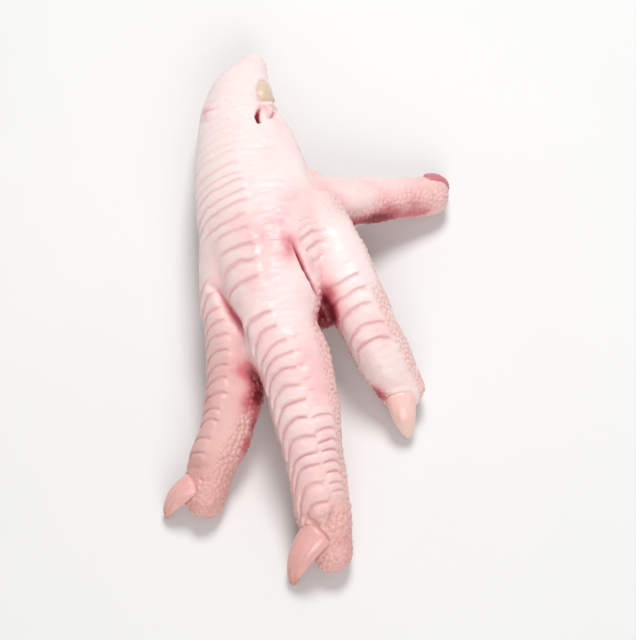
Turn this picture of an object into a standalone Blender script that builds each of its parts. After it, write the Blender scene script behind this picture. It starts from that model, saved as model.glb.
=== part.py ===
"""Raw chicken foot, cut off at the hock and lying on its sole with the scaled upper side up.

Lengths are in millimetres and angles in degrees until MM turns them into Blender's metres.
The front toes point towards -Y, the shank towards +Y and the hind toe towards +X.
"""

from collections import namedtuple

import bmesh
import bpy
import numpy as np
from mathutils import Matrix, Vector

MM = 0.001
UP = np.array((0.0, 0.0, 1.0))

# ---------------------------------------------------------------- driving dimensions

SKIN_VOXEL = 0.7  # grid on which the limbs are fused into one skin
SKIN_TRIANGLES = 9700  # what the skin is thinned to
LOFT_STEP = 1.2  # spacing of the rings of a loft
LOFT_SIDES = 32
CAP_START = 8  # angle on a rounded end at which its first ring lies
CAP_RINGS = 5
MAP_STEP = 0.5  # spacing of the places on a limb's line that points are measured from
POINTS_AT_ONCE = 4000
SEAT_GAP = 0.3  # clearance round a claw or the knuckle in the skin
WEB_SOFTNESS = 0.22  # how far from the meeting of two limbs the skin is smoothed
WEB_PASSES = 45  # how many times the skin is smoothed there
EVEN_PASSES = 3  # how many times all of it is smoothed
SMOOTHING = 0.5  # how far each pass moves a point towards its neighbours
SHARE_SHARPNESS = 14  # how fast one limb gives way to the next where they meet
TOE_ROOT = (2.0, 9.0)  # over these distances a toe takes over from the shank

# One bone: its length, its heading from -Y towards +X, how steeply it dips, and the size of the limb
# at its far end: width, height above the bone's line and depth below it.
Bone = namedtuple("Bone", "length heading dip width above below")

# One limb: where its line starts, the size there, its bones, the length of its rounded ends,
# and how far its upper side is rolled from straight up towards -X at the start and at the tip.
Limb = namedtuple("Limb", "name start size bones caps rolls")

LIMBS = (
    Limb(
        "middle",
        (-2.3, 61.8, 7.2),
        (7.4, 4.4, 6.4),
        (
            Bone(6.0, -27, -12, 13.0, 6.0, 8.9),
            Bone(8.4, -17, -14, 17.2, 7.2, 9.4),
            Bone(12.5, -1, -14, 23.4, 8.2, 10.0),
            Bone(12.2, -1, -14, 26.6, 8.6, 11.0),
            Bone(13.9, 1, -12, 27.6, 9.2, 11.8),
            Bone(15.6, -1, -2, 20.8, 9.0, 11.0),
            Bone(9.5, 1, 7, 17.2, 7.8, 9.4),
            Bone(5.8, 17, 9, 16.2, 7.8, 8.6),
            Bone(12.8, 5, 14, 14.6, 6.9, 7.4),
            Bone(11.9, 2, 20, 12.2, 5.9, 6.2),
            Bone(10.1, 1, 20, 12.1, 5.4, 6.0),
            Bone(8.5, 4, 17, 8.8, 3.4, 5.2),
        ),
        (3.2, 4.4),
        (0, 26),
    ),
    Limb(
        "outer",
        (-14.4, 14.1, 18.0),
        (13.4, 6.6, 8.5),
        (
            Bone(12.0, -8.5, 9, 14.2, 6.8, 7.4),
            Bone(14.1, -4, 12, 13.2, 6.4, 6.6),
            Bone(11.6, -11, 13, 11.6, 6.0, 6.3),
            Bone(8.6, -22, 15, 10.4, 5.5, 5.8),
            Bone(8.5, -31, 16, 9.7, 5.0, 5.4),
            Bone(7.2, -25, 10, 8.2, 3.2, 5.6),
        ),
        (5.0, 4.0),
        (10, 38),
    ),
    Limb(
        "inner",
        (3.7, 14.7, 17.6),
        (15.0, 6.8, 8.5),
        (
            Bone(12.5, 19, 0, 14.4, 7.0, 8.0),
            Bone(12.7, 16, 9, 12.8, 6.0, 6.8),
            Bone(11.9, 20, 26, 12.0, 5.3, 5.7),
            Bone(9.2, 27, 34, 10.2, 3.8, 6.5),
        ),
        (5.0, 3.8),
        (6, 10),
    ),
    Limb(
        "hind",
        (-0.4, 19.2, 16.0),
        (12.8, 6.0, 7.4),
        (
            Bone(9.4, 90, 9, 11.6, 5.8, 6.2),
            Bone(14.5, 98, 21, 9.4, 4.8, 5.0),
            Bone(12.4, 96, 21, 8.8, 4.2, 5.4),
        ),
        (4.0, 3.8),
        (0, 0),
    ),
)

# Skin stretched between the roots of two toes, built as a limb is.
WEBS = (
    Limb(
        "inner_web",
        (1.5, 1.0, 17.0),
        (7.0, 3.0, 6.0),
        (
            Bone(6.0, 10, 22, 7.0, 2.6, 6.0),
            Bone(5.0, 4, 28, 5.6, 2.0, 5.0),
        ),
        (2.0, 1.6),
        (0, 0),
    ),
    Limb(
        "outer_web",
        (-18.0, -8.0, 16.0),
        (6.0, 3.0, 5.0),
        (
            Bone(6.0, 8, 14, 6.0, 2.6, 5.0),
            Bone(6.0, 6, 22, 5.0, 2.0, 4.0),
        ),
        (2.0, 1.6),
        (0, 0),
    ),
    Limb(
        "hind_web",
        (1.8, 29.2, 14.5),
        (4.8, 4.5, 5.0),
        (
            Bone(5.0, 45, 4, 5.0, 4.5, 5.0),
            Bone(5.0, 48, 8, 5.0, 4.0, 5.0),
        ),
        (1.5, 1.5),
        (0, 0),
    ),
)

# One pad on the sole: its limb, its distance along it, its reach along it and how far it bulges.
Pad = namedtuple("Pad", "limb at reach rise")

PADS = (
    Pad("middle", 64, 9.0, 3.0),
    Pad("middle", 84, 4.5, 0.9),
    Pad("middle", 97, 4.0, 0.8),
    Pad("middle", 109, 3.5, 0.7),
    Pad("outer", 26, 4.5, 0.9),
    Pad("outer", 38, 3.6, 0.8),
    Pad("outer", 48, 3.2, 0.7),
    Pad("inner", 25, 4.5, 0.9),
    Pad("inner", 37, 3.6, 0.8),
    Pad("hind", 22, 5.0, 0.8),
)

# One row of scutes: the limb it lies on, the distances along it between which it runs, how many it
# has and how many times longer the last is than the first. Then come pairs, for its first and its last
# scute: the angles of its left and right edges from the limb's upper side, the angle at which its
# joints are furthest back, how far they bow forward BOW_ANGLE degrees from there, and its height.
Row = namedtuple("Row", "limb first last count growth left right crown bow height")
BOW_ANGLE = 50
BOW_POWER = 2.6  # how a joint bows: 2 is round, and more is flatter with steeper sides
LOBES = 8  # how many degrees narrower a scute is at its joints than at its middle
ROW_EDGE = 9  # over this angle a scute rises from the edge of its row
SCUTE_RISE = (0.0, 0.40)  # over this share of a scute it rises from its upper joint
SCUTE_DROP = (1.0, 0.80)  # over this share of a scute it drops into its lower joint
JOINT_CHANCE = 0.16  # how far a joint is moved by chance, in scutes

ROWS = (
    Row("middle", 21, 71, 16, 1.5, (-98, -88), (-2, 6), (-40, -16), (0.8, 1.6), (0.04, 0.42)),
    Row("middle", 28, 52, 7, 1.1, (20, 20), (54, 52), (36, 36), (0.4, 0.4), (0.06, 0.10)),
    Row("middle", 72.2, 120, 14, 1.32, (-60, -54), (16, 45), (-4, 23), (2.2, 3.2), (0.36, 0.58)),
    Row("middle", 79.5, 95.5, 6, 1.0, (10, 20), (34, 48), (22, 34), (14, 14), (0.26, 0.34)),
    Row("middle", 95.8, 117, 9, 1.0, (17, 40), (74, 86), (44, 62), (5, 6), (0.36, 0.44)),
    Row("outer", 8.7, 55.8, 14, 1.0, (-80, -74), (14, 24), (0, 5), (2.2, 2.2), (0.34, 0.46)),
    Row("inner", 16.9, 35.2, 6, 1.35, (-70, -66), (34, 44), (-15, -15), (-0.5, 2.0), (0.30, 0.40)),
)
ROW_END = 0.8  # over this many scutes a row rises from nothing at each end
SOLE_LEVEL = 0.25  # how far up a limb's sides its pads reach, as a cosine from straight down

# One crease of the upper side: its corners as seen from above, with how deep it is at each, and
# its half width.
Crease = namedtuple("Crease", "corners reach")

CREASES = (
    Crease(
        (
            (-1.9, 5.4, 0.2),
            (-1.6, 3.6, 0.8),
            (-1.0, 0.9, 1.4),
            (0.1, -2.8, 1.6),
            (1.4, -5.3, 1.6),
            (2.5, -9.0, 1.5),
        ),
        0.9,
    ),
    Crease(
        (
            (-20.9, -0.6, 0.5),
            (-19.7, -2.2, 1.0),
            (-18.2, -6.7, 1.3),
            (-16.8, -10.7, 1.4),
            (-15.4, -15.0, 1.0),
            (-14.6, -18.0, 0.2),
        ),
        1.0,
    ),
    Crease(((-2.3, 45.2, 0.3), (-3.3, 43.4, 1.0), (-4.0, 41.2, 1.5), (-3.9, 39.4, 1.0)), 0.8),
    Crease(((-0.2, 53.4, 0.8), (-1.4, 50.0, 1.6), (-1.6, 48.0, 1.6)), 1.5),
)

# One claw: its root and tip, how far it bows up between them, its width and height at the root, and
# how far it is rolled towards -X.
Claw = namedtuple("Claw", "name root tip bow width height roll")

CLAWS = (
    Claw("claw_middle", (-6.4, -57.1, 8.4), (-12.9, -64.2, 0.8), 1.6, 7.6, 5.6, 26),
    Claw("claw_outer", (-31.4, -40.9, 6.6), (-37.8, -44.7, 1.0), 1.2, 6.0, 4.8, 30),
    Claw("claw_inner", (17.0, -27.9, 6.9), (17.9, -34.7, 1.1), 1.3, 6.6, 5.2, 8),
    Claw("claw_hind", (33.3, 24.8, 7.1), (37.9, 24.5, 4.0), 0.9, 4.4, 3.7, -20),
)
CLAW_TIP = 0.26  # size at the tip, as a share of that at the root
CLAW_TAPER = (1.5, 0.8)  # powers that keep a claw full near its root and narrow it near its tip
CLAW_ABOVE = 0.52  # share of a claw's height that lies above its line
CLAW_ENDS = (1.2, 0.9)  # length of a claw's rounded ends
CLAW_STEP = 0.9
CLAW_SIDES = 14
CLAW_CAP_RINGS = 3

KNUCKLE_CENTRE = (-2.9, 50.4, 11.4)
KNUCKLE_SIZE = (7.7, 10.8, 9.4)
KNUCKLE_TURN = -10
KNUCKLE_TILT = -14
SADDLE_DEPTH = 0.10  # of the hollow between the knuckle's two heads, as a share of its size
SADDLE_REACH = 0.14
KNUCKLE_SIDES = 20
KNUCKLE_RINGS = 12

FLOOR_SIZE = (300, 300, 20)

SKIN_COLOUR = (0.86, 0.68, 0.63)
CLAW_COLOUR = (0.80, 0.52, 0.46)
CARTILAGE_COLOUR = (0.88, 0.76, 0.58)
SKIN_ROUGHNESS = 0.45
HARD_ROUGHNESS = 0.3


# ---------------------------------------------------------------- curves and directions


def smooth_through(places, values, wanted):
    """Catmull-Rom curve through values at places, read at the wanted places."""
    values = np.asarray(values, float)
    slopes = np.gradient(values, places, axis=0)
    index = np.clip(np.searchsorted(places, wanted) - 1, 0, len(places) - 2)
    span = np.diff(places)[index]
    t = (wanted - np.asarray(places)[index]) / span
    if values.ndim > 1:
        t = t[:, None]
        span = span[:, None]
    start, end = values[index], values[index + 1]
    return (
        (2 * t**3 - 3 * t**2 + 1) * start
        + (t**3 - 2 * t**2 + t) * span * slopes[index]
        + (3 * t**2 - 2 * t**3) * end
        + (t**3 - t**2) * span * slopes[index + 1]
    )


def smoothstep(values, low, high):
    """0 below low, 1 above high and a smooth rise between them. It falls where low is above high."""
    t = np.clip((values - low) / (high - low), 0, 1)
    return t * t * (3 - 2 * t)


def bell(distances, reach):
    return np.exp(-((distances / reach) ** 2))


def between(pair, share):
    return pair[0] + (pair[1] - pair[0]) * share


def unit(vectors):
    return vectors / np.linalg.norm(vectors, axis=-1, keepdims=True)


def rolled(side, up, degrees):
    """Side and up directions turned about the line they stand on."""
    roll = np.radians(degrees)
    return side * np.cos(roll) + up * np.sin(roll), up * np.cos(roll) - side * np.sin(roll)


# ---------------------------------------------------------------- lines and sections of a limb


def bone_line(limb):
    """The distances along a limb of its joints, and the joints' places."""
    places = [np.array(limb.start)]
    distances = [0.0]
    for bone in limb.bones:
        heading, dip = np.radians((bone.heading, bone.dip))
        flat = np.cos(dip)
        step = (np.sin(heading) * flat, -np.cos(heading) * flat, -np.sin(dip))
        places.append(places[-1] + bone.length * np.array(step))
        distances.append(distances[-1] + bone.length)
    return np.array(distances), np.array(places)


def limb_stations(limb, step):
    """Distance, centre, forward, side and up directions, and half width, above and below, every step."""
    joints, places = bone_line(limb)
    sizes = [limb.size] + [bone[3:] for bone in limb.bones]
    distance = np.linspace(0, joints[-1], max(3, round(joints[-1] / step) + 1))
    centre = smooth_through(joints, places, distance)
    size = smooth_through(joints, sizes, distance) * (0.5, 1, 1)
    forward = unit(np.gradient(centre, axis=0))
    side = unit(np.cross(UP, forward))
    up = np.cross(forward, side)
    roll = np.interp(distance, (0, joints[-1]), limb.rolls)[:, None]
    side, up = rolled(side, up, roll)
    return distance, centre, forward, side, up, size


# ---------------------------------------------------------------- meshes


def rounded_ends(stations, caps, cap_rings):
    """The stations of a loft with a half-round cap added at each end."""
    _, centre, forward, side, up, size = stations
    turns = np.radians(np.linspace(CAP_START, 90, cap_rings, endpoint=False))
    rings = []
    for turn in turns:
        reach = forward[0] * caps[0] * np.cos(turn)
        rings.append((centre[0] - reach, side[0], up[0], size[0] * np.sin(turn)))
    rings += list(zip(centre, side, up, size))
    for turn in turns[::-1]:
        reach = forward[-1] * caps[1] * np.cos(turn)
        rings.append((centre[-1] + reach, side[-1], up[-1], size[-1] * np.sin(turn)))
    return rings


def as_object(name, shape):
    """An object, in no collection yet, with a bmesh as its mesh."""
    mesh = bpy.data.meshes.new(name)
    shape.to_mesh(mesh)
    shape.free()
    return bpy.data.objects.new(name, mesh)


def loft(name, rings, sides):
    """A closed object through rings of (centre, side, up, (half width, above, below))."""
    shape = bmesh.new()
    angles = np.linspace(0, 2 * np.pi, sides, endpoint=False)
    loops = []
    for centre, side, up, (half_width, above, below) in rings:
        heights = np.where(np.cos(angles) > 0, above, below) * np.cos(angles)
        points = centre + np.outer(half_width * np.sin(angles), side) + np.outer(heights, up)
        loops.append([shape.verts.new(Vector(point) * MM) for point in points])
    for back, front in zip(loops, loops[1:]):
        for i in range(sides):
            j = (i + 1) % sides
            shape.faces.new((back[i], back[j], front[j], front[i]))
    shape.faces.new(loops[0][::-1])
    shape.faces.new(loops[-1])
    bmesh.ops.recalc_face_normals(shape, faces=shape.faces)
    return as_object(name, shape)


def applied(obj):
    """Turns an object's modifiers into its mesh."""
    graph = bpy.context.evaluated_depsgraph_get()
    mesh = bpy.data.meshes.new_from_object(obj.evaluated_get(graph))
    obj.modifiers.clear()
    old, obj.data = obj.data, mesh
    bpy.data.meshes.remove(old)
    return obj


def points_of(mesh):
    points = np.empty(len(mesh.vertices) * 3, np.float32)
    mesh.vertices.foreach_get("co", points)
    return points.reshape(-1, 3).astype(float) / MM


def normals_of(mesh):
    normals = np.empty(len(mesh.vertices) * 3, np.float32)
    mesh.vertices.foreach_get("normal", normals)
    return normals.reshape(-1, 3).astype(float)


# ---------------------------------------------------------------- where a point of the skin lies


def on_limb(limb, points):
    """For each point: distance along the limb, angle from its upper side, depth as a share of its size."""
    distance, centre, forward, side, up, size = limb_stations(limb, MAP_STEP)
    parts = np.array_split(points, max(1, len(points) // POINTS_AT_ONCE))
    nearest = np.concatenate([np.argmin(((part[:, None] - centre) ** 2).sum(2), axis=1) for part in parts])
    offset = points - centre[nearest]
    along = (offset * forward[nearest]).sum(1)
    across = (offset * side[nearest]).sum(1)
    height = (offset * up[nearest]).sum(1)
    tall = np.where(height > 0, size[nearest, 1], size[nearest, 2])
    depth = np.sqrt((across / size[nearest, 0]) ** 2 + (height / tall) ** 2)
    depth += np.clip(np.abs(along) - MAP_STEP, 0, None) / size[nearest, 0]
    return distance[nearest] + along, np.degrees(np.arctan2(across, height)), depth


def web_share(depths):
    """How much a point lies where two limbs meet, from its depths in them, nearest first."""
    return bell(depths[1] - depths[0], WEB_SOFTNESS)


class SkinMap:
    """Where each point of the skin lies: on which limb, how far along it and on which side."""

    def __init__(self, points):
        self.points = points
        names = [limb.name for limb in LIMBS]
        places = [on_limb(limb, points) for limb in LIMBS]
        self.along = {name: place[0] for name, place in zip(names, places)}
        self.angle = {name: place[1] for name, place in zip(names, places)}
        depths = np.array([place[2] for place in places])
        share = np.exp(-SHARE_SHARPNESS * depths)
        self.share = dict(zip(names, share / share.sum(0)))
        self.give_roots_to_shank(names[0], names[1:])
        nearest_toe = np.argmin(depths[1:], axis=0)
        on_toe = np.choose(nearest_toe, [self.along[toe] for toe in names[1:]])
        self.web = web_share(np.sort(depths, axis=0)) * smoothstep(on_toe, *TOE_ROOT)

    def give_roots_to_shank(self, shank, toes):
        for toe in toes:
            root = self.share[toe] * (1 - smoothstep(self.along[toe], *TOE_ROOT))
            self.share[toe] -= root
            self.share[shank] += root


# ---------------------------------------------------------------- skin


def fused_limbs(voxel):
    """All limbs and webs as one closed skin, smoothed where two limbs meet."""
    joined = bmesh.new()
    for limb in LIMBS + WEBS:
        rings = rounded_ends(limb_stations(limb, LOFT_STEP), limb.caps, CAP_RINGS)
        piece = loft(limb.name, rings, LOFT_SIDES)
        joined.from_mesh(piece.data)
        bpy.data.objects.remove(piece)
    skin = as_object("foot", joined)
    bpy.context.scene.collection.objects.link(skin)
    remesh = skin.modifiers.new("Fuse", "REMESH")
    remesh.mode = "VOXEL"
    remesh.voxel_size = voxel * MM
    applied(skin)

    depths = np.sort([on_limb(limb, points_of(skin.data))[2] for limb in LIMBS], axis=0)
    webs = skin.vertex_groups.new(name="webs")
    for i, weight in enumerate(web_share(depths)):
        webs.add((i,), float(weight), "REPLACE")
    soften = skin.modifiers.new("Webs", "SMOOTH")
    soften.factor = SMOOTHING
    soften.iterations = WEB_PASSES
    soften.vertex_group = webs.name
    even = skin.modifiers.new("Even", "SMOOTH")
    even.factor = SMOOTHING
    even.iterations = EVEN_PASSES
    return applied(skin)


def scute_profile(t):
    """Height over one scute: it rises from its upper joint and drops steeply into its lower one."""
    return smoothstep(t, *SCUTE_RISE) * smoothstep(t, *SCUTE_DROP)


def uneven(row, count):
    """Places in a row, counted in scutes, once its joints are moved a little by chance."""
    joints = np.arange(row.count + 1)
    chance = np.random.default_rng(row.count).uniform(-JOINT_CHANCE, JOINT_CHANCE, len(joints))
    return np.interp(count, joints + chance, joints)


def row_relief(row, spot):
    """Height of a row's scutes, in millimetres."""
    along, angle = spot.along[row.limb], spot.angle[row.limb]
    share = np.clip((along - row.first) / (row.last - row.first), 0, 1)
    left, right = between(row.left, share), between(row.right, share)
    off_crown = np.abs(angle - between(row.crown, share)) / BOW_ANGLE
    place = along - between(row.bow, share) * off_crown**BOW_POWER
    share = np.clip((place - row.first) / (row.last - row.first), 0, 1)
    gain = (row.growth - 1) / (row.growth + 1)
    count = uneven(row, row.count * share * (1 + gain * (1 - share)))
    inside = (right - left) / 2 - np.abs(angle - (left + right) / 2)
    inside -= LOBES * np.abs(2 * (count % 1) - 1) ** 3
    edge = smoothstep(inside, 0.0, ROW_EDGE)
    ends = smoothstep(np.minimum(count, row.count - count), 0.0, ROW_END)
    belongs = spot.share[row.limb] * edge * ends * (1 - spot.web)
    return between(row.height, share) * belongs * scute_profile(count % 1)


def pad_relief(pad, spot):
    """Height of a pad on the sole, in millimetres."""
    sole = np.clip(SOLE_LEVEL - np.cos(np.radians(spot.angle[pad.limb])), 0, 1)
    return spot.share[pad.limb] * pad.rise * bell(spot.along[pad.limb] - pad.at, pad.reach) * sole


def crease_depth(crease, points):
    """How deep a crease is at each point, as seen from above."""
    corners = np.array(crease.corners)
    deepest = np.zeros(len(points))
    for start, end in zip(corners, corners[1:]):
        run = end[:2] - start[:2]
        along = np.clip(((points[:, :2] - start[:2]) @ run) / (run @ run), 0, 1)
        closest = start + along[:, None] * (end - start)
        away = np.linalg.norm(points[:, :2] - closest[:, :2], axis=1)
        deepest = np.maximum(deepest, closest[:, 2] * bell(away, crease.reach))
    return deepest


def raise_relief(skin):
    """Moves the skin along its normals by the height of the scutes, pads and creases."""
    mesh = skin.data
    normals = normals_of(mesh)
    spot = SkinMap(points_of(mesh))
    upward = np.clip(normals[:, 2] * 2, 0, 1)
    height = sum(row_relief(row, spot) for row in ROWS)
    height += sum(pad_relief(pad, spot) for pad in PADS)
    height -= sum(crease_depth(crease, spot.points) for crease in CREASES) * upward
    points = spot.points + normals * height[:, None]
    mesh.vertices.foreach_set("co", (points * MM).astype(np.float32).ravel())
    mesh.update()


def thinned(skin, triangles):
    """Collapses edges where the skin is flattest until about this many triangles are left."""
    shape = bmesh.new()
    shape.from_mesh(skin.data)
    bmesh.ops.triangulate(shape, faces=shape.faces)
    shape.to_mesh(skin.data)
    shape.free()
    thin = skin.modifiers.new("Thin", "DECIMATE")
    thin.ratio = triangles / len(skin.data.polygons)
    return applied(skin)


# ---------------------------------------------------------------- claws and knuckle


def claw_object(claw, grow=0.0):
    """A horn cone that bows up between root and tip; grow makes it fatter all round, as a cutter."""
    root, tip = np.array(claw.root), np.array(claw.tip)
    straight = tip - root
    length = np.linalg.norm(straight)
    side = unit(np.cross(UP, straight))
    lift = unit(np.cross(straight, side))
    side, lift = rolled(side, lift, claw.roll)
    share = np.linspace(0, 1, max(4, round(length / CLAW_STEP)))
    bowed = 4 * claw.bow * share * (1 - share)
    centre = root + np.outer(share, straight) + np.outer(bowed, lift)
    forward = unit(np.gradient(centre, axis=0))
    up = unit(np.cross(forward, side))
    taper = CLAW_TIP + (1 - CLAW_TIP) * (1 - share ** CLAW_TAPER[0]) ** CLAW_TAPER[1]
    full = (claw.width / 2, claw.height * CLAW_ABOVE, claw.height * (1 - CLAW_ABOVE))
    size = np.outer(taper, full) + grow
    stations = (share, centre, forward, np.broadcast_to(side, centre.shape), up, size)
    caps = [end + grow for end in CLAW_ENDS]
    return loft(claw.name, rounded_ends(stations, caps, CLAW_CAP_RINGS), CLAW_SIDES)


def knuckle_object(grow=0.0):
    """The cartilage that caps the bone at the hock: two round heads side by side."""
    shape = bmesh.new()
    bmesh.ops.create_uvsphere(shape, u_segments=KNUCKLE_SIDES, v_segments=KNUCKLE_RINGS, radius=0.5)
    size = Vector(KNUCKLE_SIZE) + Vector((2 * grow,) * 3)
    for vert in shape.verts:
        x, y, z = vert.co
        saddle = 1 - SADDLE_DEPTH * bell(x, SADDLE_REACH)
        vert.co = Vector((x * size.x, y * saddle * size.y, z * saddle * size.z))
    turn = Matrix.Rotation(np.radians(KNUCKLE_TURN), 3, "Z")
    turn @= Matrix.Rotation(np.radians(KNUCKLE_TILT), 3, "X")
    bmesh.ops.transform(shape, matrix=turn.to_4x4(), verts=shape.verts)
    bmesh.ops.translate(shape, vec=Vector(KNUCKLE_CENTRE), verts=shape.verts)
    bmesh.ops.scale(shape, vec=(MM, MM, MM), verts=shape.verts)
    return as_object("knuckle", shape)


# ---------------------------------------------------------------- assembly


def collection(name):
    made = bpy.data.collections.new(name)
    bpy.context.scene.collection.children.link(made)
    return made


def painted(obj, name, colour, roughness):
    """Gives an object its own plain material and shades it smooth."""
    material = bpy.data.materials.new(name)
    material.use_nodes = True
    surface = material.node_tree.nodes["Principled BSDF"]
    surface.inputs["Base Color"].default_value = (*colour, 1)
    surface.inputs["Roughness"].default_value = roughness
    surface.inputs["Metallic"].default_value = 0
    obj.data.materials.clear()
    obj.data.materials.append(material)
    obj.data.shade_smooth()
    return obj


def as_cutter(obj, cutters):
    cutters.objects.link(obj)
    obj.name = obj.name + "_seat"
    obj.hide_render = True
    obj.display_type = "WIRE"
    return obj


def cut(obj, cutter):
    """Takes a cutter out of an object."""
    boolean = obj.modifiers.new(cutter.name, "BOOLEAN")
    boolean.operation = "DIFFERENCE"
    boolean.solver = "EXACT"
    boolean.object = cutter


def floor_cutter():
    """A slab whose top is the surface that the foot lies on: it cuts small flats to rest on."""
    size = Vector(FLOOR_SIZE) * MM
    shape = bmesh.new()
    bmesh.ops.create_cube(shape, size=1)
    bmesh.ops.scale(shape, vec=size, verts=shape.verts)
    bmesh.ops.translate(shape, vec=(0, 0, -size.z / 2), verts=shape.verts)
    return as_object("floor", shape)


def main():
    for old in list(bpy.data.objects):
        bpy.data.objects.remove(old)
    foot, cutters = collection("chicken_foot"), collection("cutters")

    skin = fused_limbs(SKIN_VOXEL)
    raise_relief(skin)
    thinned(skin, SKIN_TRIANGLES)
    bpy.context.scene.collection.objects.unlink(skin)
    foot.objects.link(skin)
    painted(skin, "skin", SKIN_COLOUR, SKIN_ROUGHNESS)

    for claw in CLAWS:
        foot.objects.link(painted(claw_object(claw), claw.name, CLAW_COLOUR, HARD_ROUGHNESS))
        cut(skin, as_cutter(claw_object(claw, SEAT_GAP), cutters))
    foot.objects.link(painted(knuckle_object(), "cartilage", CARTILAGE_COLOUR, HARD_ROUGHNESS))
    cut(skin, as_cutter(knuckle_object(SEAT_GAP), cutters))
    cut(skin, as_cutter(floor_cutter(), cutters))


main()
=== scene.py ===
"""The looks of a raw chicken foot that lies on its sole.

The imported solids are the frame. Each is replaced by a finer mesh of the same form: the skin with
its scutes, granules, wrinkles and creases, the claws, and the cartilage at the cut hock.
Lengths are in millimetres and angles in degrees until MM turns them into Blender's metres.
The front toes point towards -Y, the shank towards +Y and the hind toe towards +X.
"""

import itertools
from collections import namedtuple

import bmesh
import bpy
import numpy as np
from mathutils import Matrix, Vector, kdtree, noise
from mathutils.bvhtree import BVHTree


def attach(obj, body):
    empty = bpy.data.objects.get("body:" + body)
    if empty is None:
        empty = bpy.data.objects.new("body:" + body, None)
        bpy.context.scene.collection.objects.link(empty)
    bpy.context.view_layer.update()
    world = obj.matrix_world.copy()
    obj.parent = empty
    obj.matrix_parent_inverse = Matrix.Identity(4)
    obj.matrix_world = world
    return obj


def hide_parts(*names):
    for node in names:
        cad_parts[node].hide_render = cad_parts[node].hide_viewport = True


MM = 0.001
UP = np.array((0.0, 0.0, 1.0))

# ---- view of the photograph

VIEW_PLACE = (-34.4, -225.5, 466.5)
VIEW_TARGET = (2.0, -7.5, 10.0)
PHOTO_LENS = 49.9
CLOSER = 2.55  # the foot fills this much more of the frame than in the photograph
SENSOR_WIDTH = 36
CLIP_START = 10

# ---- form, as in the solids

SKIN_VOXEL = 0.56  # grid on which the limbs are fused; one subdivision halves it
SKIN_TRIANGLES = 196_000  # what the finished skin is thinned to
LOFT_STEP = 1.2  # spacing of the rings of a loft
LOFT_SIDES = 32
CAP_START = 8  # angle on a rounded end at which its first ring lies
CAP_RINGS = 5
MAP_STEP = 0.5  # spacing of the places on a limb's line that points are measured from
POINTS_AT_ONCE = 4000
WEB_SOFTNESS = 0.22  # how far from the meeting of two limbs the skin is smoothed
WEB_PASSES = 45  # how many times the skin is smoothed there
EVEN_PASSES = 3  # how many times all of it is smoothed
SMOOTHING = 0.5  # how far each pass moves a point towards its neighbours
SHARE_SHARPNESS = 14  # how fast one limb gives way to the next where they meet

# One bone: its length, its heading from -Y towards +X, how steeply it dips, and the size of the
# limb at its far end: width, height above the bone's line and depth below it.
Bone = namedtuple("Bone", "length heading dip width above below")

# One limb: where its line starts, the size there, its bones, the length of its rounded ends,
# and how far its upper side is rolled from straight up towards -X at the start and at the tip.
Limb = namedtuple("Limb", "name start size bones caps rolls", defaults=((0, 0),))

LIMBS = (
    Limb(
        "middle",
        (-2.3, 61.8, 7.2),
        (7.4, 4.4, 6.4),
        (
            Bone(6, -27, -12, 13, 6, 8.9),
            Bone(8.4, -17, -14, 17.2, 7.2, 9.4),
            Bone(12.5, -1, -14, 23.4, 8.2, 10),
            Bone(12.2, -1, -14, 26.6, 8.6, 11),
            Bone(13.9, 1, -12, 27.6, 9.2, 11.8),
            Bone(15.6, -1, -2, 20.8, 9, 11),
            Bone(9.5, 1, 7, 17.2, 7.8, 9.4),
            Bone(5.8, 17, 9, 16.2, 7.8, 8.6),
            Bone(12.8, 5, 14, 14.6, 6.9, 7.4),
            Bone(11.9, 2, 20, 12.2, 5.9, 6.2),
            Bone(10.1, 1, 20, 12.1, 5.4, 6),
            Bone(8.5, 4, 17, 8.8, 3.4, 5.2),
        ),
        (3.2, 4.4),
        (0, 26),
    ),
    Limb(
        "outer",
        (-14.4, 14.1, 18),
        (13.4, 6.6, 8.5),
        (
            Bone(12, -8.5, 9, 14.2, 6.8, 7.4),
            Bone(14.1, -4, 12, 13.2, 6.4, 6.6),
            Bone(11.6, -11, 13, 11.6, 6, 6.3),
            Bone(8.6, -22, 15, 10.4, 5.5, 5.8),
            Bone(8.5, -31, 16, 9.7, 5, 5.4),
            Bone(7.2, -25, 10, 8.2, 3.2, 5.6),
        ),
        (5, 4),
        (10, 38),
    ),
    Limb(
        "inner",
        (3.7, 14.7, 17.6),
        (15, 6.8, 8.5),
        (
            Bone(12.5, 19, 0, 14.4, 7, 8),
            Bone(12.7, 16, 9, 12.8, 6, 6.8),
            Bone(11.9, 20, 26, 12, 5.3, 5.7),
            Bone(9.2, 27, 34, 10.2, 3.8, 6.5),
        ),
        (5, 3.8),
        (6, 10),
    ),
    Limb(
        "hind",
        (-0.4, 19.2, 16),
        (12.8, 6, 7.4),
        (
            Bone(9.4, 90, 9, 11.6, 5.8, 6.2),
            Bone(14.5, 98, 21, 9.4, 4.8, 5),
            Bone(12.4, 96, 21, 8.8, 4.2, 5.4),
        ),
        (4, 3.8),
    ),
)
LIMB_NAMES = [limb.name for limb in LIMBS]
SHANK, *TOES = LIMB_NAMES  # the shank and the middle toe are one limb
TOE_ROOT = (2.0, 9.0)  # over these distances a toe takes over from the shank

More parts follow.
